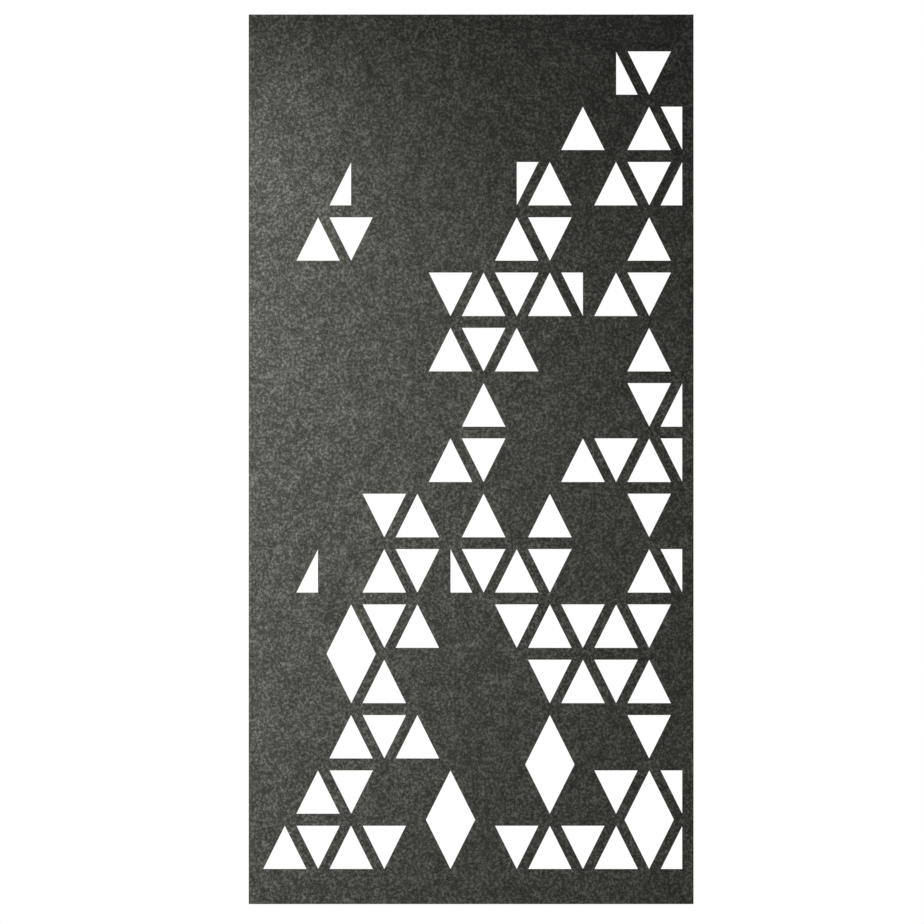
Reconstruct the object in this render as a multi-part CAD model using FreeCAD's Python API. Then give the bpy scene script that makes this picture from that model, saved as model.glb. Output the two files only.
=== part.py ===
import FreeCAD, Part
import os

# Hanging room divider: two felt leaves bonded back to back and cut through with triangular openings.
# A channel rail is let into the top edge between the leaves, and two spring nuts slide in it.
# Frame: origin at the middle of the top edge, +X to the right seen from the front, front face towards -Y,
# +Z up. All sizes are in millimetres.

# Felt panel
PANEL_WIDTH = 1200.0
PANEL_HEIGHT = 2400.0
FELT_COVER = 4.3        # felt left between the rail and the face, which makes each leaf 12 mm thick
GLUE_LINE = 0.2         # gap that the adhesive fills between the leaves

# Bands and bars of felt around the openings
TOP_BAND = 98.5         # above the first row
BOTTOM_BAND = 93.5      # below the last row
LEFT_BAND = 38.5        # beside the base corner of the first column
RIGHT_BAND = 30.0       # beside the half openings of the last column
ROW_BAR = 31.5          # height of the bar between two rows
SLANT_BAR = 30.5        # level width of the slanting bar between two neighbours in a row
COLUMNS = 13

# Openings, one line per row from the top, by column from 0 at the left.
# A bare number is a whole triangle, L or R keeps its left or right half,
# and D is a diamond that runs on into the row below.
OPENING_ROWS = (
    "10R 11",
    "9 11 12L",
    "2L 7R 8 10 11 12L",
    "1 2 7 8 11",
    "5 6 7 8 9L 10 11",
    "5 6 7 11",
    "6 11 12L",
    "5 6 9 10 11 12L",
    "3 4 6 8 11",
    "1L 3 4 5R 6 7 8 11 12L",
    "2D 3 4 7 8 9 10 11",
    "3 8 9 10 11",
    "2 3 4 8D 11",
    "1 2 5D 10 11D 12L",
    "0 1 2 3 7 8 9 10 12L",
)

# Hanging nut with an M6 thread
THREAD_RADIUS = 2.5     # minor radius of the thread
THREAD_SINK = 0.5       # countersink at the thread's mouth, out to its major radius
NUT_BOSS_WALL = 1.4     # each side of the thread, in the rail's slot
NUT_SHOULDER = 2.0      # each side, under the rail's lips
NUT_FLANGE = 5.0        # thickness under the lips
NUT_LENGTH = 22.0
NUT_CORNER = 1.5        # rounding of the flange's upright corners
NUT_INSET = 200.0       # from the side of the panel to the thread, as delivered
PEG_RADIUS = 1.0        # pegs that hold the spring under the nut
PEG_INSET = 3.0         # from the end of the nut to the peg
PEG_HEAD = 0.4          # peg standing out below the spring

# Leaf spring under each nut
SPRING_THICKNESS = 0.5
SPRING_INSET = 0.8      # each side, narrower than the nut
SPRING_DROP = 3.3       # from the nut's underside down to the rail's floor
WING_RUN = 9.0          # level length of a wing's slope
TOE_RUN = 3.0           # turned-up toe at the end of a wing
TOE_RISE = 1.0
STUD_EASE = 0.8         # hole in the spring, wider than the thread

# Channel rail with a tongue below it
RAIL_WALL = 1.5
RAIL_LIP = 1.5
RAIL_EDGE = 0.4         # rounding of the top edges
TONGUE_THICKNESS = 3.0
TONGUE_DEPTH = 38.0

# End caps
CAP_FLANGE = 2.0        # closes the end of the rail, flush with the side of the panel
CAP_PLUG = 10.0         # goes into the channel and stops the nut
CAP_EDGE = 0.3          # rounding round the outside of the flange

# Dowels through the tongue
PIN_COUNT = 8
PIN_RADIUS = 2.5
PIN_EDGE = 12.0         # from the tongue's lower edge to the dowel's axis
PIN_END = 60.0          # from the end of the rail to the first dowel
PIN_COVER = 2.0         # felt left between the end of a dowel and the face
PIN_CHAMFER = 0.5

# Clearances
FELT_FIT = 0.2          # felt round the rail, its caps and its dowels
RUNNING_FIT = 0.2       # each side of the nut in the rail
LIFT_FIT = 0.1          # nut under the lips, and spring over the floor
PUSH_FIT = 0.1          # cap in the channel, dowel in the tongue, spring on its pegs
SAME_PLACE = 1e-6       # lengths this close count as one

ALONG = FreeCAD.Vector(1, 0, 0)
ACROSS = FreeCAD.Vector(0, 1, 0)
UP = FreeCAD.Vector(0, 0, 1)

# Sizes that follow from the nut: the slot takes its boss and the channel its flange and spring
nut_boss_width = 2 * (THREAD_RADIUS + NUT_BOSS_WALL)
nut_flange_width = nut_boss_width + 2 * NUT_SHOULDER
nut_top = -(RAIL_LIP + LIFT_FIT)
nut_bottom = nut_top - NUT_FLANGE
spring_top = nut_bottom
spring_foot = spring_top - SPRING_THICKNESS - SPRING_DROP
spring_width = nut_flange_width - 2 * SPRING_INSET
slot_width = nut_boss_width + 2 * RUNNING_FIT
channel_width = nut_flange_width + 2 * RUNNING_FIT
channel_floor = spring_foot - LIFT_FIT
rail_width = channel_width + 2 * RAIL_WALL
rail_bottom = channel_floor - RAIL_WALL
tongue_bottom = rail_bottom - TONGUE_DEPTH
rail_length = PANEL_WIDTH - 2 * CAP_FLANGE
nut_reach = NUT_LENGTH / 2 + WING_RUN + TOE_RUN

# Each leaf holds half of the rail behind its cover of felt
inner_face = GLUE_LINE / 2
outer_face = rail_width / 2 + FELT_FIT + FELT_COVER
pin_half_length = outer_face - PIN_COVER - FELT_FIT
pin_height = tongue_bottom + PIN_EDGE

# The openings share out what the bands and bars leave
rows = len(OPENING_ROWS)
base_shares = COLUMNS / 2
opening_height = (PANEL_HEIGHT - TOP_BAND - BOTTOM_BAND - (rows - 1) * ROW_BAR) / rows
opening_base = (PANEL_WIDTH - LEFT_BAND - RIGHT_BAND - (COLUMNS - 1) * SLANT_BAR) / base_shares
row_pitch = opening_height + ROW_BAR
column_pitch = opening_base / 2 + SLANT_BAR


def block(x_range, y_range, z_range):
    """Box between the given lowest and highest x, y and z."""
    corner = FreeCAD.Vector(x_range[0], y_range[0], z_range[0])
    return Part.makeBox(x_range[1] - x_range[0], y_range[1] - y_range[0], z_range[1] - z_range[0], corner)


def closed_wire(points):
    return Part.makePolygon(points + points[:1])


def edges_along(shape, axis):
    """Straight edges of a shape that run along an axis."""
    ends = [(edge, edge.lastVertex().Point - edge.firstVertex().Point) for edge in shape.Edges]
    return [edge for edge, run in ends if run.Length > 0 and run.cross(axis).Length < SAME_PLACE]


def opening_outline(row, mark):
    """Corners (x, z) of one opening: a whole triangle, half of one, or a diamond."""
    column = int(mark.rstrip("LRD"))
    kept = mark.lstrip("0123456789")
    middle = -PANEL_WIDTH / 2 + LEFT_BAND + opening_base / 2 + column * column_pitch
    top = -TOP_BAND - row * row_pitch
    bottom = top - opening_height
    if kept == "D":
        belt = bottom - ROW_BAR / 2
        half_width = opening_base / 2 * (top - belt) / opening_height
        return [(middle, top), (middle - half_width, belt), (middle, 2 * belt - top), (middle + half_width, belt)]
    points_up = (row + column) % 2 == 0
    tip, base = (top, bottom) if points_up else (bottom, top)
    left = middle if kept == "R" else middle - opening_base / 2
    right = middle if kept == "L" else middle + opening_base / 2
    return [(middle, tip), (left, base), (right, base)]


def panel_outline():
    half_width = PANEL_WIDTH / 2
    return [(-half_width, 0), (-half_width, -PANEL_HEIGHT), (half_width, -PANEL_HEIGHT), (half_width, 0)]


def rail_body(grow, length):
    """Outside of the rail, channel and tongue together, grown by a clearance all round but at the top."""
    x_range = (-length / 2, length / 2)
    half_channel = rail_width / 2 + grow
    half_tongue = TONGUE_THICKNESS / 2 + grow
    channel = block(x_range, (-half_channel, half_channel), (rail_bottom - grow, 0))
    tongue = block(x_range, (-half_tongue, half_tongue), (tongue_bottom - grow, rail_bottom - grow))
    return channel.fuse(tongue).removeSplitter()


def pins(radius, half_length):
    """Row of dowels, or of the holes for them, across the tongue."""
    span = rail_length - 2 * PIN_END
    row = []
    for index in range(PIN_COUNT):
        start = FreeCAD.Vector(-span / 2 + index * span / (PIN_COUNT - 1), -half_length, pin_height)
        row.append(Part.makeCylinder(radius, 2 * half_length, start, ACROSS))
    return row


def felt_leaf(side):
    """One leaf, on the front (side -1) or the back (side 1), with the openings and its half of the rail's bed."""
    outlines = [panel_outline()]
    for row, marks in enumerate(OPENING_ROWS):
        outlines += [opening_outline(row, mark) for mark in marks.split()]
    wires = [closed_wire([FreeCAD.Vector(x, side * inner_face, z) for x, z in outline]) for outline in outlines]
    face = Part.makeFace(wires, "Part::FaceMakerBullseye")
    leaf = face.extrude(FreeCAD.Vector(0, side * (outer_face - inner_face), 0))
    bed = [rail_body(FELT_FIT, PANEL_WIDTH)] + pins(PIN_RADIUS + FELT_FIT, pin_half_length + FELT_FIT)
    return leaf.cut(bed).removeSplitter()


def top_rail():
    """Channel with inturned lips, and a tongue below it with the dowel holes."""
    x_range = (-rail_length / 2, rail_length / 2)
    cavity = block(x_range, (-channel_width / 2, channel_width / 2), (channel_floor, -RAIL_LIP))
    slot = block(x_range, (-slot_width / 2, slot_width / 2), (-RAIL_LIP, 0))
    rail = rail_body(0, rail_length).cut([cavity, slot])
    top_edges = [edge for edge in edges_along(rail, ALONG) if abs(edge.CenterOfMass.z) < SAME_PLACE]
    rounding = min(RAIL_EDGE, RAIL_LIP / 3)
    return rail.makeFillet(rounding, top_edges).cut(pins(PIN_RADIUS + PUSH_FIT, TONGUE_THICKNESS))


def end_cap(side):
    """Cap on the left (side -1) or right (side 1) end, with a plug that fills the channel and its slot."""
    flange = rail_body(0, CAP_FLANGE)
    rim = [edge for edge in flange.Edges if abs(edge.BoundBox.XMin - CAP_FLANGE / 2) < SAME_PLACE]
    flange = flange.makeFillet(min(CAP_EDGE, CAP_FLANGE / 3), rim)
    plug_x = (-CAP_FLANGE / 2 - CAP_PLUG, CAP_FLANGE / 2)
    half_plug = channel_width / 2 - PUSH_FIT
    half_rib = slot_width / 2 - PUSH_FIT
    plug = block(plug_x, (-half_plug, half_plug), (channel_floor + PUSH_FIT, -RAIL_LIP - PUSH_FIT))
    rib = block(plug_x, (-half_rib, half_rib), (-RAIL_LIP - PUSH_FIT, 0))
    cap = flange.fuse([plug, rib]).removeSplitter()
    if side < 0:
        cap = cap.mirror(FreeCAD.Vector(), ALONG)
    cap.translate(FreeCAD.Vector(side * (rail_length + CAP_FLANGE) / 2, 0, 0))
    return cap


def rail_cross_pins():
    dowels = []
    for dowel in pins(PIN_RADIUS, pin_half_length):
        rims = [edge for edge in dowel.Edges if edge.Closed]
        dowels.append(dowel.makeChamfer(PIN_CHAMFER, rims))
    return Part.makeCompound(dowels)


def peg_places():
    """Distances of the two pegs from the thread, along the nut."""
    reach = NUT_LENGTH / 2 - PEG_INSET
    return (-reach, reach)


def hanging_nut(middle):
    """T-shaped nut: a flange under the lips, a boss in the slot, a thread right through and two pegs below."""
    half_length = NUT_LENGTH / 2
    x_range = (middle - half_length, middle + half_length)
    half_flange = nut_flange_width / 2
    flange = block(x_range, (-half_flange, half_flange), (nut_bottom, nut_top))
    flange = flange.makeFillet(min(NUT_CORNER, NUT_SHOULDER), edges_along(flange, UP))
    boss = block(x_range, (-nut_boss_width / 2, nut_boss_width / 2), (nut_top, 0))
    peg_length = SPRING_THICKNESS + PEG_HEAD
    pegs = []
    for place in peg_places():
        foot = FreeCAD.Vector(middle + place, 0, nut_bottom - peg_length)
        pegs.append(Part.makeCylinder(PEG_RADIUS, peg_length, foot))
    thread = Part.makeCylinder(THREAD_RADIUS, -nut_bottom, FreeCAD.Vector(middle, 0, nut_bottom))
    sink_foot = FreeCAD.Vector(middle, 0, -THREAD_SINK)
    sink = Part.makeCone(THREAD_RADIUS, THREAD_RADIUS + THREAD_SINK, THREAD_SINK, sink_foot)
    return flange.fuse([boss] + pegs).cut([thread, sink]).removeSplitter()


def nut_spring(middle):
    """Strip under the nut with a wing at each end that bows down to the rail's floor and turns up at its toe."""
    flat = NUT_LENGTH / 2
    knee = flat + WING_RUN
    toe = knee + TOE_RUN
    low = spring_top - SPRING_DROP
    right_side = [(flat, spring_top), (knee, low), (toe, low + TOE_RISE)]
    upper = [(-x, z) for x, z in reversed(right_side)] + right_side
    lower = [(x, z - SPRING_THICKNESS) for x, z in reversed(upper)]
    corners = [FreeCAD.Vector(middle + x, -spring_width / 2, z) for x, z in upper + lower]
    strip = Part.Face(closed_wire(corners)).extrude(FreeCAD.Vector(0, spring_width, 0))
    hole_radii = {0: THREAD_RADIUS + STUD_EASE}
    for place in peg_places():
        hole_radii[place] = PEG_RADIUS + PUSH_FIT
    holes = []
    for place, radius in hole_radii.items():
        foot = FreeCAD.Vector(middle + place, 0, spring_foot)
        holes.append(Part.makeCylinder(radius, spring_top - spring_foot, foot))
    return strip.cut(holes)


def main():
    hang_x = PANEL_WIDTH / 2 - NUT_INSET
    nodes = {
        "front_felt_leaf": felt_leaf(-1),
        "back_felt_leaf": felt_leaf(1),
        "top_rail": top_rail(),
        "rail_cross_pins": rail_cross_pins(),
        "left_end_cap": end_cap(-1),
        "right_end_cap": end_cap(1),
        "left_hanging_nut": hanging_nut(-hang_x),
        "right_hanging_nut": hanging_nut(hang_x),
        "left_nut_spring": nut_spring(-hang_x),
        "right_nut_spring": nut_spring(hang_x),
    }
    os.makedirs("parts", exist_ok=True)
    for name, shape in nodes.items():
        shape.exportStep("parts/" + name + ".step")
        print(name, "solids", len(shape.Solids), "valid", shape.isValid(), "volume", round(shape.Volume, 1))
    inward = hang_x - nut_reach
    outward = rail_length / 2 - CAP_PLUG - hang_x - nut_reach
    print("leaf thickness", round(outer_face - inner_face, 3), "rail", round(rail_width, 3), round(-rail_bottom, 3))
    print("opening base", round(opening_base, 2), "height", round(opening_height, 2))
    print("nut travel inward", round(inward, 2), "outward", round(outward, 2))


main()
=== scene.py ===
import math

import bmesh
import bpy
from mathutils import Matrix, Vector


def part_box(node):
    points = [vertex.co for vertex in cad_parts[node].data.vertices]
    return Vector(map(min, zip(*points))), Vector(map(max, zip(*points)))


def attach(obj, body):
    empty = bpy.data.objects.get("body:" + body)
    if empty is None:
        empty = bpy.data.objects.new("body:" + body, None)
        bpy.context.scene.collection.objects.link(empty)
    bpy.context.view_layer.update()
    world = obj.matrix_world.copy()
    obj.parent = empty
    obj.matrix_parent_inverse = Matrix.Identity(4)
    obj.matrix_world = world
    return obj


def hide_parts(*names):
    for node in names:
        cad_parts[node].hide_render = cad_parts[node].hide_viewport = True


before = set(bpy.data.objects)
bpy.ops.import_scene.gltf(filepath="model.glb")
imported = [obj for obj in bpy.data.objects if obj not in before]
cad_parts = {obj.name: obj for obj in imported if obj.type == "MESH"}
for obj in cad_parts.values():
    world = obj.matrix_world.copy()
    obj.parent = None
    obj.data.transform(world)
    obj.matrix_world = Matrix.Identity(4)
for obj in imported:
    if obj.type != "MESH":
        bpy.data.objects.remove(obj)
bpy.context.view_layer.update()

# Hanging room divider: a charcoal felt panel of two bonded leaves, cut through with triangular openings.
# The rail, its caps, dowels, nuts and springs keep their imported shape. All sizes are in metres.

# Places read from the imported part
panel_low, panel_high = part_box("front_felt_leaf")
rail_low, rail_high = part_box("top_rail")
dowels_low, dowels_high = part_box("rail_cross_pins")
panel_width = panel_high.x - panel_low.x
panel_height = panel_high.z - panel_low.z
leaf_outer = -panel_low.y       # distance of a leaf's face from the middle plane
leaf_inner = -panel_high.y      # distance of its glued side

# Bands and bars of felt around the openings
TOP_BAND = 0.0985
BOTTOM_BAND = 0.0935
LEFT_BAND = 0.0385
RIGHT_BAND = 0.0300
ROW_BAR = 0.0315
SLANT_BAR = 0.0305
COLUMNS = 13

# Openings, one line per row from the top, by column from 0 at the left.
# A bare number is a whole triangle, L or R keeps its left or right half,
# and D is a diamond that runs on into the row below.
OPENING_ROWS = (
    "10R 11",
    "9 11 12L",
    "2L 7R 8 10 11 12L",
    "1 2 7 8 11",
    "5 6 7 8 9L 10 11",
    "5 6 7 11",
    "6 11 12L",
    "5 6 9 10 11 12L",
    "3 4 6 8 11",
    "1L 3 4 5R 6 7 8 11 12L",
    "2D 3 4 7 8 9 10 11",
    "3 8 9 10 11",
    "2 3 4 8D 11",
    "1 2 5D 10 11D 12L",
    "0 1 2 3 7 8 9 10 12L",
)
rows = len(OPENING_ROWS)
opening_height = (panel_height - TOP_BAND - BOTTOM_BAND - (rows - 1) * ROW_BAR) / rows
opening_base = (panel_width - LEFT_BAND - RIGHT_BAND - (COLUMNS - 1) * SLANT_BAR) / (COLUMNS / 2)
row_pitch = opening_height + ROW_BAR
column_pitch = opening_base / 2 + SLANT_BAR

# Bed of the rail in the leaves
FELT_FIT = 0.0002               # clearance between the felt and the rail or its dowels
RAIL_DEPTH = 0.012              # the channel without its tongue
TONGUE_THICKNESS = 0.003
DOWELS = 8
RING_SIDES = 20                 # sides of a dowel's hole
WELD_REACH = 1e-6               # points of neighbouring strips this close become one
channel_side = rail_high.y + FELT_FIT
channel_floor = rail_high.z - RAIL_DEPTH - FELT_FIT
tongue_side = TONGUE_THICKNESS / 2 + FELT_FIT
tongue_floor = rail_low.z - FELT_FIT
dowel_radius = (dowels_high.z - dowels_low.z) / 2
dowel_level = (dowels_high.z + dowels_low.z) / 2
dowel_hole_end = dowels_high.y + FELT_FIT

# Softness of the cut felt
EDGE_ROUNDING = 0.0010          # along the edges of both faces
ROUNDING_STEPS = 3
SEAM_CHAMFER = 0.0004           # along the glued side, which shows as a fine line between the leaves
FLAT_LIMIT = 0.95               # a surface whose normal has more than this along Y is face, not edge

# Tints, as shares of red, green and blue
NEUTRAL = (1.0, 1.0, 1.0)
DARK_FELT = (0.968, 1.0, 0.83)
PALE_FELT = (0.978, 1.0, 0.885)
STEEL_TINT = (1.01, 1.0, 0.98)
COOL_TINT = (0.98, 1.0, 1.03)

# Noises: their scales are per metre, and most of a noise lies within this range
NOISE_LOW = 0.3
NOISE_HIGH = 0.7

# Felt's clumps, in which pale strands gather, and the wide cloud over them
CLOUD_SCALE = 34.0
CLOUD_SHADE = (0.80, 1.20)
CLUMP_SCALE = 140.0
CLUMP_DETAIL = 2.0
CLUMP_ROUGHNESS = 0.75
CLUMP_RANGE = (0.34, 0.70)      # noise from the emptiest to the fullest place
CLUMP_POWER = 1.9
CLUMP_MEAN = 0.25
CLUMP_PULL = 0.38               # how far a clump gathers pale strands

# Felt's strands, in layers that each lie another way
STRANDS_ACROSS = 2400.0
STRANDS_ALONG = 210.0
STRAND_TONES = (0.45, 0.55, 1.00, 0.80, 0.70, 0.35, 0.40)
STRAND_TURN = 67.0              # degrees from one layer to the next
STRAND_EDGE = 0.58              # noise from which on a strand lies there
STRAND_SOFTNESS = 0.20
STRAND_RELIEF = 0.25            # height of a strand, as a share of a clump's
STRAND_ROUGHNESS = (0.98, 0.86)     # from the darkest place to the palest strand
CURL_SCALE = 70.0
CURL_REACH = 0.010
GROUND_TONE = 0.04

# Felt's face
FACE_DARK = 0.029
FACE_PALE = 0.212
FACE_RELIEF = 0.0007
FACE_SHEEN = 0.06
FACE_SHEEN_ROUGHNESS = 0.6
FELT_BUMP = 0.6                 # strength of the relief on the face and on the cut edge

# Felt's cut edge
EDGE_DARK = 0.016
EDGE_PALE = 0.12
EDGE_RELIEF = 0.0006
LAYER_FLATTENING = 4.0          # how much thinner than wide the clumps are
LAYER_SCALES = (60.0, 1500.0, 60.0)
LAYER_SHADE = (0.65, 1.35)
GLUE_REACH = 0.0012             # distance from the middle plane up to which the glue darkens the edge
GLUE_SHADE = 0.3

# Metals: brightness, tint, roughness and depth of the drawn lines
METALS = {
    "black_anodised": (0.040, COOL_TINT, 0.38, 0.00004),
    "zinc_plated": (0.40, STEEL_TINT, 0.42, 0.00003),
    "bright_strip": (0.40, STEEL_TINT, 0.32, 0.00003),
}
LINE_SCALES = (40.0, 2600.0, 2600.0)
LINE_SHADE = (0.88, 1.10)
LINE_ROUGHNESS = (-0.05, 0.07)  # added to the metal's own
STAIN_SCALE = 55.0
STAIN_SHADE = (0.90, 1.08)
METAL_BUMP = 0.5

# Moulded plastic
PLASTIC_TONE = 0.021
PLASTIC_GRAIN = 2400.0
PLASTIC_SHADE = (0.85, 1.20)
PLASTIC_ROUGHNESS = (0.50, 0.66)
PLASTIC_RELIEF = 0.0002
PLASTIC_BUMP = 0.5

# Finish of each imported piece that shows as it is
FINISHES = {
    "top_rail": "black_anodised",
    "rail_cross_pins": "zinc_plated",
    "left_end_cap": "black_plastic",
    "right_end_cap": "black_plastic",
    "left_hanging_nut": "zinc_plated",
    "right_hanging_nut": "zinc_plated",
    "left_nut_spring": "bright_strip",
    "right_nut_spring": "bright_strip",
}

# The panel's edges in the photograph, in its pixels
PHOTO_SIZE = 924.0
PHOTO_LEFT = 248.8
PHOTO_RIGHT = 693.5
PHOTO_TOP = 14.45
PHOTO_BOTTOM = 904.1

# Camera
LENS_MM = 300.0
SENSOR_MM = 36.0
SIGHT = 200.0                   # distance up to which the camera sees

# Floor
FLOOR_DROP = 0.30               # from the panel's lower edge to the floor
FLOOR_RADIUS = 3.6
FLOOR_SIDES = 96
FLOOR_SOLID = 1.6               # radius inside which the floor is solid, before it fades out
FLOOR_TONE = 0.70               # share of the lamps' light that the floor gives back
FLOOR_LIFT = 0.30               # white that the camera sees in it besides, so that it looks pale
MOTTLE_SCALE = 6.0
MOTTLE_SHADE = (0.97, 1.00)

# Light: each lamp's place, the point that it shines at, its width and its watts
AMBIENT = 0.075                 # light from all round
LAMPS = {
    "key": ((-1.1, -1.2, -1.08), (-0.3, 0.0, -1.85), 1.0, 26.8),
    "upper_left": ((-0.8, -0.5, -0.3), (-0.6, 0.0, -0.9), 0.5, 3.8),
    "lower_left": ((-0.9, -0.45, -2.05), (-0.6, 0.0, -2.3), 0.5, 0.9),
    "back": ((1.2, 1.9, -0.4), (0.0, 0.0, -1.2), 1.4, 55.0),
    "above": ((-0.3, 0.7, 1.5), (0.0, 0.0, 0.0), 2.4, 20.0),
}


# Node trees


class Tree:
    """Adds nodes to a material, a world or a node group, with their values and links in one call."""

    def __init__(self, tree):
        self.tree = tree
        tree.nodes.clear()

    def add(self, kind, settings=None, **inputs):
        """New node. settings are its own properties, and inputs are values or other nodes' sockets."""
        node = self.tree.nodes.new(kind)
        for key, value in (settings or {}).items():
            setattr(node, key, value)
        for key, value in inputs.items():
            self.feed(node.inputs[key.replace("_", " ")], value)
        return node

    def feed(self, socket, value):
        """Gives a socket a value, or links another node's socket to it."""
        if isinstance(value, bpy.types.NodeSocket):
            self.tree.links.new(value, socket)
        else:
            socket.default_value = value

    def math(self, operation, first, second=0.0):
        node = self.add("ShaderNodeMath", {"operation": operation})
        self.feed(node.inputs[0], first)
        self.feed(node.inputs[1], second)
        return node.outputs[0]

    def scaled(self, vector, factors):
        node = self.add("ShaderNodeMapping", Vector=vector, Scale=factors)
        return node.outputs["Vector"]

    def turned(self, vector, angle, factors):
        """Vector turned about Y by an angle, then stretched."""
        turn = {"vector_type": "TEXTURE"}
        node = self.add("ShaderNodeMapping", turn, Vector=vector, Rotation=(0, angle, 0))
        return self.scaled(node.outputs["Vector"], factors)

    def warped(self, vector, scale, reach):
        """Vector pushed about by a noise, by up to about half of reach each way."""
        push = self.add("ShaderNodeTexNoise", Vector=vector, Scale=scale, Detail=1.0)
        shift = self.add("ShaderNodeVectorMath", {"operation": "MULTIPLY_ADD"})
        self.feed(shift.inputs[0], push.outputs["Color"])
        self.feed(shift.inputs[1], (reach, reach, reach))
        self.feed(shift.inputs[2], vector)
        return shift.outputs[0]

    def noise(self, vector, scale=1.0, detail=2.0, roughness=0.5):
        node = self.add("ShaderNodeTexNoise", Vector=vector, Scale=scale, Detail=detail,
                        Roughness=roughness)
        return node.outputs["Fac"]

    def between(self, value, low, high, to_low=0.0, to_high=1.0):
        """Value from low to high, spread over another range and held at its ends."""
        node = self.add("ShaderNodeMapRange", Value=value)
        ends = {"From Min": low, "From Max": high, "To Min": to_low, "To Max": to_high}
        for key, number in ends.items():
            node.inputs[key].default_value = number
        return node.outputs["Result"]

    def spread(self, noise, ends):
        """Noise spread over a range."""
        return self.between(noise, NOISE_LOW, NOISE_HIGH, *ends)

    def mix(self, factor, first, second):
        """Mix of two colours, which the node takes at its inputs 6 and 7 and gives at its output 2."""
        node = self.add("ShaderNodeMix", {"data_type": "RGBA"})
        for index, value in ((0, factor), (6, first), (7, second)):
            self.feed(node.inputs[index], value)
        return node.outputs[2]

    def shade(self, colour, factor):
        """Colour times a value."""
        node = self.add("ShaderNodeVectorMath", {"operation": "SCALE"})
        self.feed(node.inputs[0], colour[:3] if isinstance(colour, tuple) else colour)
        self.feed(node.inputs["Scale"], factor)
        return node.outputs[0]


def tinted(value, tint=NEUTRAL):
    """Colour of the given brightness, with a tint given as shares of red, green and blue."""
    return (value * tint[0], value * tint[1], value * tint[2], 1.0)


def new_group(name, inputs, outputs):
    """Empty node group with the named sockets, as (group, tree, input sockets, output node)."""
    group = bpy.data.node_groups.new(name, "ShaderNodeTree")
    for socket, kind in inputs:
        group.interface.new_socket(socket, in_out="INPUT", socket_type=kind)
    for socket, kind in outputs:
        group.interface.new_socket(socket, in_out="OUTPUT", socket_type=kind)
    tree = Tree(group)
    return group, tree, tree.add("NodeGroupInput").outputs, tree.add("NodeGroupOutput")


def felt_fibres_group():
    """Needled felt: curved strands lying every way, with the pale ones gathered in clumps."""
    group, tree, given, out = new_group(
        "felt_fibres",
        [("Vector", "NodeSocketVector"), ("Dark", "NodeSocketColor"), ("Pale", "NodeSocketColor")],
        [("Color", "NodeSocketColor"), ("Height", "NodeSocketFloat"), ("Roughness", "NodeSocketFloat")])
    place = given["Vector"]
    cloud = tree.noise(place, CLOUD_SCALE)
    clump = tree.noise(place, CLUMP_SCALE, CLUMP_DETAIL, CLUMP_ROUGHNESS)
    clumped = tree.math("POWER", tree.between(clump, *CLUMP_RANGE), CLUMP_POWER)
    gathered = tree.math("MULTIPLY", tree.math("SUBTRACT", clumped, CLUMP_MEAN), CLUMP_PULL)
    curved = tree.warped(place, CURL_SCALE, CURL_REACH)
    lightness = GROUND_TONE
    height = clumped
    for layer, tone in enumerate(STRAND_TONES):
        turn = math.radians(layer * STRAND_TURN)
        along = tree.turned(curved, turn, (STRANDS_ACROSS, STRANDS_ACROSS, STRANDS_ALONG))
        strand = tree.math("ADD", tree.noise(along, detail=0.0), gathered)
        lying = tree.between(strand, STRAND_EDGE, STRAND_EDGE + STRAND_SOFTNESS)
        lightness = tree.math("MAXIMUM", lightness, tree.math("MULTIPLY", lying, tone))
        height = tree.math("ADD", height, tree.math("MULTIPLY", lying, STRAND_RELIEF))
    colour = tree.mix(lightness, given["Dark"], given["Pale"])
    tree.feed(out.inputs["Color"], tree.shade(colour, tree.spread(cloud, CLOUD_SHADE)))
    tree.feed(out.inputs["Height"], height)
    tree.feed(out.inputs["Roughness"], tree.between(lightness, 0.0, 1.0, *STRAND_ROUGHNESS))
    return group


def drawn_metal_group():
    """Fine lines along X, as drawing or rolling leaves them, over a faint change of tone."""
    group, tree, given, out = new_group(
        "drawn_metal",
        [("Vector", "NodeSocketVector"), ("Tone", "NodeSocketColor"), ("Shine", "NodeSocketFloat")],
        [("Color", "NodeSocketColor"), ("Roughness", "NodeSocketFloat"), ("Height", "NodeSocketFloat")])
    lines = tree.noise(tree.scaled(given["Vector"], LINE_SCALES), roughness=0.6)
    stain = tree.noise(given["Vector"], STAIN_SCALE, detail=3.0, roughness=0.6)
    tone = tree.math("MULTIPLY", tree.spread(lines, LINE_SHADE), tree.spread(stain, STAIN_SHADE))
    tree.feed(out.inputs["Color"], tree.shade(given["Tone"], tone))
    rough = tree.math("ADD", given["Shine"], tree.spread(lines, LINE_ROUGHNESS))
    tree.feed(out.inputs["Roughness"], rough)
    tree.feed(out.inputs["Height"], lines)
    return group


felt_fibres = felt_fibres_group()
drawn_metal = drawn_metal_group()


# Materials


def new_material(name):
    """Material with a shader, as (material, tree, shader)."""
    material = bpy.data.materials.new(name)
    material.use_nodes = True
    tree = Tree(material.node_tree)
    shader = tree.add("ShaderNodeBsdfPrincipled")
    tree.add("ShaderNodeOutputMaterial", Surface=shader.outputs[0])
    return material, tree, shader


def object_place(tree):
    return tree.add("ShaderNodeTexCoord").outputs["Object"]


def bump(tree, shader, height, distance, strength):
    node = tree.add("ShaderNodeBump", Height=height, Distance=distance, Strength=strength)
    tree.feed(shader.inputs["Normal"], node.outputs[0])


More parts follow.
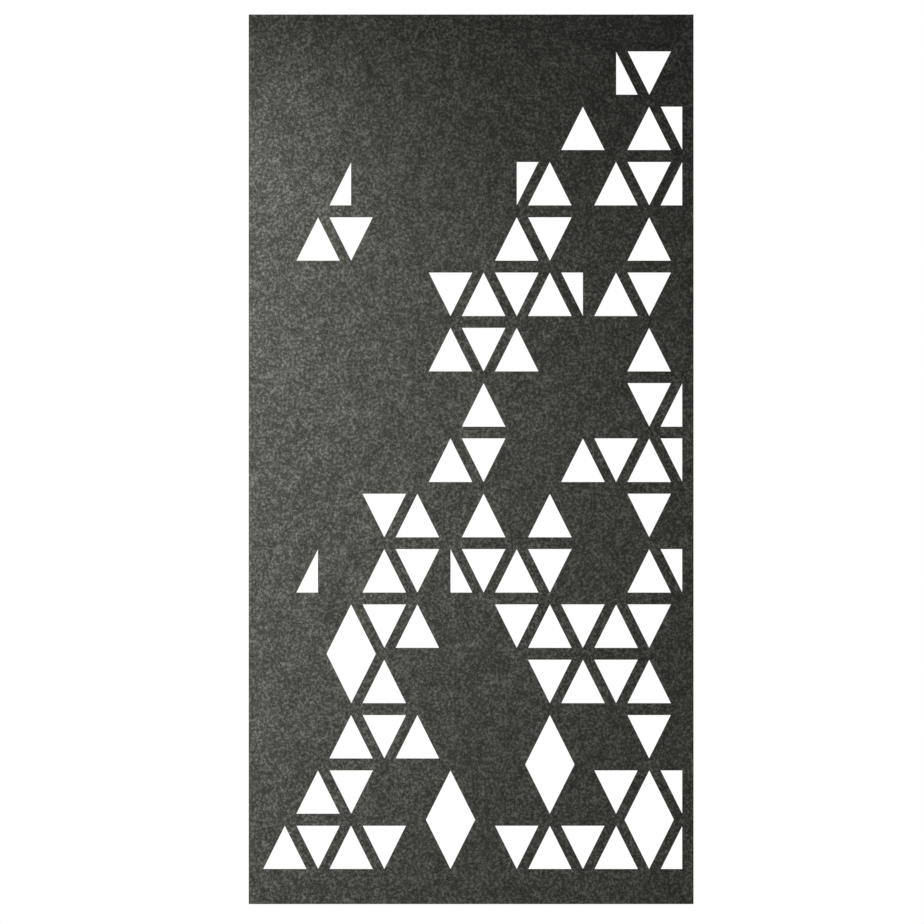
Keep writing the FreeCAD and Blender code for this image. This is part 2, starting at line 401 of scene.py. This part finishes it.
def felt_face():
    """Face of the felt, heathered charcoal."""
    material, tree, shader = new_material("felt_face")
    fibres = tree.add("ShaderNodeGroup", {"node_tree": felt_fibres}, Vector=object_place(tree),
                      Dark=tinted(FACE_DARK, DARK_FELT), Pale=tinted(FACE_PALE, PALE_FELT))
    tree.feed(shader.inputs["Base Color"], fibres.outputs["Color"])
    tree.feed(shader.inputs["Roughness"], fibres.outputs["Roughness"])
    bump(tree, shader, fibres.outputs["Height"], FACE_RELIEF, FELT_BUMP)
    shader.inputs["Specular IOR Level"].default_value = 0.0
    shader.inputs["Sheen Weight"].default_value = FACE_SHEEN
    shader.inputs["Sheen Roughness"].default_value = FACE_SHEEN_ROUGHNESS
    return material


def felt_cut_edge():
    """Cut side of the felt: darker, in thin layers of fibre, with a fine glue line between the leaves."""
    material, tree, shader = new_material("felt_cut_edge")
    place = object_place(tree)
    flattened = tree.scaled(place, (1.0, LAYER_FLATTENING, 1.0))
    fibres = tree.add("ShaderNodeGroup", {"node_tree": felt_fibres}, Vector=flattened,
                      Dark=tinted(EDGE_DARK, DARK_FELT), Pale=tinted(EDGE_PALE, PALE_FELT))
    layers = tree.noise(tree.scaled(place, LAYER_SCALES), detail=3.0, roughness=0.6)
    depth = tree.math("ABSOLUTE", tree.add("ShaderNodeSeparateXYZ", Vector=place).outputs["Y"])
    glue = tree.between(depth, leaf_inner, GLUE_REACH, GLUE_SHADE, 1.0)
    layered = tree.math("MULTIPLY", tree.spread(layers, LAYER_SHADE), glue)
    tree.feed(shader.inputs["Base Color"], tree.shade(fibres.outputs["Color"], layered))
    tree.feed(shader.inputs["Roughness"], fibres.outputs["Roughness"])
    bump(tree, shader, tree.math("ADD", fibres.outputs["Height"], layers), EDGE_RELIEF, FELT_BUMP)
    shader.inputs["Specular IOR Level"].default_value = 0.0
    return material


def metal(name):
    """Drawn or rolled metal with lines along X."""
    brightness, tint, shine, relief = METALS[name]
    material, tree, shader = new_material(name)
    drawn = tree.add("ShaderNodeGroup", {"node_tree": drawn_metal}, Vector=object_place(tree),
                     Tone=tinted(brightness, tint), Shine=shine)
    tree.feed(shader.inputs["Base Color"], drawn.outputs["Color"])
    tree.feed(shader.inputs["Roughness"], drawn.outputs["Roughness"])
    shader.inputs["Metallic"].default_value = 1.0
    bump(tree, shader, drawn.outputs["Height"], relief, METAL_BUMP)
    return material


def black_plastic():
    """Moulded plastic with a fine spark texture."""
    material, tree, shader = new_material("black_plastic")
    grain = tree.noise(object_place(tree), PLASTIC_GRAIN)
    colour = tree.shade(tinted(PLASTIC_TONE), tree.spread(grain, PLASTIC_SHADE))
    tree.feed(shader.inputs["Base Color"], colour)
    tree.feed(shader.inputs["Roughness"], tree.spread(grain, PLASTIC_ROUGHNESS))
    bump(tree, shader, grain, PLASTIC_RELIEF, PLASTIC_BUMP)
    return material


# Felt leaves


def strip_outline(high, low):
    """Corners (x, z) of a strip right across the panel."""
    return [(panel_low.x, high), (panel_low.x, low), (panel_high.x, low), (panel_high.x, high)]


def opening_outline(row, mark):
    """Corners (x, z) of one opening: a whole triangle, half of one, or a diamond."""
    column = int(mark.rstrip("LRD"))
    kept = mark.lstrip("0123456789")
    middle = panel_low.x + LEFT_BAND + opening_base / 2 + column * column_pitch
    top = panel_high.z - TOP_BAND - row * row_pitch
    bottom = top - opening_height
    if kept == "D":
        belt = bottom - ROW_BAR / 2
        half_width = opening_base / 2 * (top - belt) / opening_height
        foot = 2 * belt - top
        return [(middle, top), (middle - half_width, belt), (middle, foot), (middle + half_width, belt)]
    points_up = (row + column) % 2 == 0
    tip, base = (top, bottom) if points_up else (bottom, top)
    left = middle if kept == "R" else middle - opening_base / 2
    right = middle if kept == "L" else middle + opening_base / 2
    return [(middle, tip), (left, base), (right, base)]


def dowel_places():
    """Each dowel's x, evenly spaced."""
    first, last = dowels_low.x + dowel_radius, dowels_high.x - dowel_radius
    return [first + (last - first) * index / (DOWELS - 1) for index in range(DOWELS)]


def drawn_loop(bm, y, outline):
    """Edges round an outline in the plane at y."""
    corners = [bm.verts.new((x, y, z)) for x, z in outline]
    return [bm.edges.new(ends) for ends in zip(corners, corners[1:] + corners[:1])]


def drawn_ring(bm, y, x):
    """Edges round a dowel's hole in the plane at y."""
    across = Matrix.Translation((x, y, dowel_level)) @ Matrix.Rotation(math.radians(90), 4, "X")
    radius = dowel_radius + FELT_FIT
    ring = bmesh.ops.create_circle(bm, segments=RING_SIDES, radius=radius, matrix=across)
    return list(dict.fromkeys(edge for vert in ring["verts"] for edge in vert.link_edges))


def drawn_face(bm, y):
    """Fills the panel in the plane at y, in strips over the rail's channel and tongue and below them."""
    rings = [drawn_ring(bm, y, x) for x in dowel_places()]
    openings = []
    for row, marks in enumerate(OPENING_ROWS):
        openings += [drawn_loop(bm, y, opening_outline(row, mark)) for mark in marks.split()]
    strips = (
        (panel_high.z, channel_floor, []),
        (channel_floor, tongue_floor, rings),
        (tongue_floor, panel_low.z, openings),
    )
    for high, low, holes in strips:
        edges = drawn_loop(bm, y, strip_outline(high, low))
        for hole in holes:
            edges += hole
        bmesh.ops.triangle_fill(bm, edges=edges, use_beauty=True, normal=(0, -1, 0))
    for ring in rings:
        bmesh.ops.edgeloop_fill(bm, edges=ring)
    bmesh.ops.remove_doubles(bm, verts=bm.verts[:], dist=WELD_REACH)
    return bm.faces[:]


def deepen(bm, faces, y):
    """Extrudes faces straight to the plane at y and returns the faces there."""
    edges = dict.fromkeys(edge for face in faces for edge in face.edges)
    made = bmesh.ops.extrude_face_region(bm, geom=faces + list(edges))["geom"]
    for vert in made:
        if isinstance(vert, bmesh.types.BMVert):
            vert.co.y = y
    return [face for face in made if isinstance(face, bmesh.types.BMFace)]


def in_dowel_hole(face):
    middle = face.calc_center_median()
    return any((middle - Vector((x, middle.y, dowel_level))).length < dowel_radius for x in dowel_places())


def faces_below(faces, z):
    return [face for face in faces if face.calc_center_median().z < z]


def round_over(bm, faces):
    """Rounds the borders of the faces over, in steps along a quarter circle."""
    for step in range(ROUNDING_STEPS):
        low = math.radians(90 * step / ROUNDING_STEPS)
        high = math.radians(90 * (step + 1) / ROUNDING_STEPS)
        made = bmesh.ops.inset_region(bm, faces=faces, use_boundary=True, use_even_offset=True,
                                      thickness=EDGE_ROUNDING * (math.cos(low) - math.cos(high)),
                                      depth=EDGE_ROUNDING * (math.sin(high) - math.sin(low)))
        for face in made["faces"]:
            face.smooth = True


def leaf_shape(side):
    """Leaf on the front (side -1) or the back (side 1), cut out round its half of the rail."""
    bm = bmesh.new()
    face_side = drawn_face(bm, side * (leaf_outer - EDGE_ROUNDING))
    glued = deepen(bm, face_side, side * dowel_hole_end)
    glued = deepen(bm, [face for face in glued if not in_dowel_hole(face)], side * channel_side)
    glued = deepen(bm, faces_below(glued, channel_floor), side * tongue_side)
    glued = deepen(bm, faces_below(glued, tongue_floor), side * (leaf_inner + SEAM_CHAMFER))
    bmesh.ops.recalc_face_normals(bm, faces=bm.faces[:])
    bmesh.ops.inset_region(bm, faces=glued, use_boundary=True, use_even_offset=True,
                           thickness=SEAM_CHAMFER, depth=SEAM_CHAMFER)
    round_over(bm, face_side)
    for face in bm.faces:
        face.material_index = 0 if abs(face.normal.y) > FLAT_LIMIT else 1
    return bm


def placed_mesh(name, bm, materials):
    """Object of that name in the scene, with the mesh of bm."""
    mesh = bpy.data.meshes.new(name)
    bm.to_mesh(mesh)
    bm.free()
    for material in materials:
        mesh.materials.append(material)
    thing = bpy.data.objects.new(name, mesh)
    bpy.context.scene.collection.objects.link(thing)
    return thing


def felt_leaf(name, node, side, materials):
    leaf = placed_mesh(name, leaf_shape(side), materials)
    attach(leaf, "panel")
    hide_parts(node)


felt_materials = (felt_face(), felt_cut_edge())
felt_leaf("front_felt", "front_felt_leaf", -1, felt_materials)
felt_leaf("back_felt", "back_felt_leaf", 1, felt_materials)


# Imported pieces

finishes = {name: metal(name) for name in METALS}
finishes["black_plastic"] = black_plastic()
for node, finish in FINISHES.items():
    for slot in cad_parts[node].material_slots:
        slot.material = finishes[finish]


# Floor, light and camera


def floor_finish():
    """Matt floor that fades out towards its rim and isn't seen from below."""
    material = bpy.data.materials.new("pale_floor")
    material.use_nodes = True
    tree = Tree(material.node_tree)
    place = object_place(tree)
    flat = tree.scaled(place, (1.0, 1.0, 0.0))
    radius = tree.add("ShaderNodeVectorMath", {"operation": "LENGTH"}, Vector=flat).outputs["Value"]
    fade = tree.between(radius, FLOOR_SOLID, FLOOR_RADIUS)
    below = tree.add("ShaderNodeNewGeometry").outputs["Backfacing"]
    clear = tree.math("MAXIMUM", fade, below)
    mottle = tree.spread(tree.noise(place, MOTTLE_SCALE, detail=3.0), MOTTLE_SHADE)
    matt = tree.add("ShaderNodeBsdfDiffuse", Color=tree.shade(tinted(FLOOR_TONE), mottle))
    seen = tree.add("ShaderNodeLightPath").outputs["Is Camera Ray"]
    lift = tree.add("ShaderNodeEmission", Strength=tree.math("MULTIPLY", seen, FLOOR_LIFT))
    solid = tree.add("ShaderNodeAddShader")
    tree.feed(solid.inputs[0], matt.outputs[0])
    tree.feed(solid.inputs[1], lift.outputs[0])
    nothing = tree.add("ShaderNodeBsdfTransparent")
    mixed = tree.add("ShaderNodeMixShader")
    tree.feed(mixed.inputs[0], clear)
    tree.feed(mixed.inputs[1], solid.outputs[0])
    tree.feed(mixed.inputs[2], nothing.outputs[0])
    tree.add("ShaderNodeOutputMaterial", Surface=mixed.outputs[0])
    return material


def pale_floor():
    """Round floor under the panel."""
    bm = bmesh.new()
    level = Matrix.Translation((0, 0, panel_low.z - FLOOR_DROP))
    bmesh.ops.create_circle(bm, cap_ends=True, segments=FLOOR_SIDES, radius=FLOOR_RADIUS, matrix=level)
    placed_mesh("floor", bm, [floor_finish()])


def white_surround():
    """World that the camera, gloss and glass see as white, and that gives a little light from all round."""
    world = bpy.data.worlds.new("surround")
    world.use_nodes = True
    tree = Tree(world.node_tree)
    path = tree.add("ShaderNodeLightPath").outputs
    seen = tree.math("MAXIMUM", path["Is Camera Ray"], path["Is Glossy Ray"])
    seen = tree.math("MAXIMUM", seen, path["Is Transmission Ray"])
    strength = tree.between(seen, 0.0, 1.0, AMBIENT, 1.0)
    sky = tree.add("ShaderNodeBackground", Color=tinted(1.0), Strength=strength)
    tree.add("ShaderNodeOutputWorld", Surface=sky.outputs[0])
    bpy.context.scene.world = world


def aim(thing, place, target):
    thing.location = place
    thing.rotation_euler = (Vector(target) - Vector(place)).to_track_quat("-Z", "Y").to_euler()


def soft_lamp(name, place, target, size, watts):
    data = bpy.data.lights.new(name, "AREA")
    data.shape = "SQUARE"
    data.size = size
    data.energy = watts
    lamp = bpy.data.objects.new(name, data)
    bpy.context.scene.collection.objects.link(lamp)
    aim(lamp, place, target)


def photo_camera():
    """Camera square to the front, with the panel's edges where the photograph has them."""
    data = bpy.data.cameras.new("photo_camera")
    data.lens = LENS_MM
    data.sensor_width = SENSOR_MM
    data.clip_end = SIGHT
    camera = bpy.data.objects.new("photo_camera", data)
    bpy.context.scene.collection.objects.link(camera)
    bpy.context.scene.camera = camera
    pixel = panel_height / (PHOTO_BOTTOM - PHOTO_TOP)
    right = (PHOTO_SIZE - PHOTO_LEFT - PHOTO_RIGHT) / 2 * pixel
    down = (PHOTO_SIZE - PHOTO_TOP - PHOTO_BOTTOM) / 2 * pixel
    target = Vector((right, -leaf_outer, (panel_low.z + panel_high.z) / 2 - down))
    distance = PHOTO_SIZE * pixel * LENS_MM / SENSOR_MM
    aim(camera, target - Vector((0, distance, 0)), target)


pale_floor()
white_surround()
for name, (place, target, size, watts) in LAMPS.items():
    soft_lamp(name, place, target, size, watts)
photo_camera()
bpy.context.scene.view_settings.view_transform = "Standard"
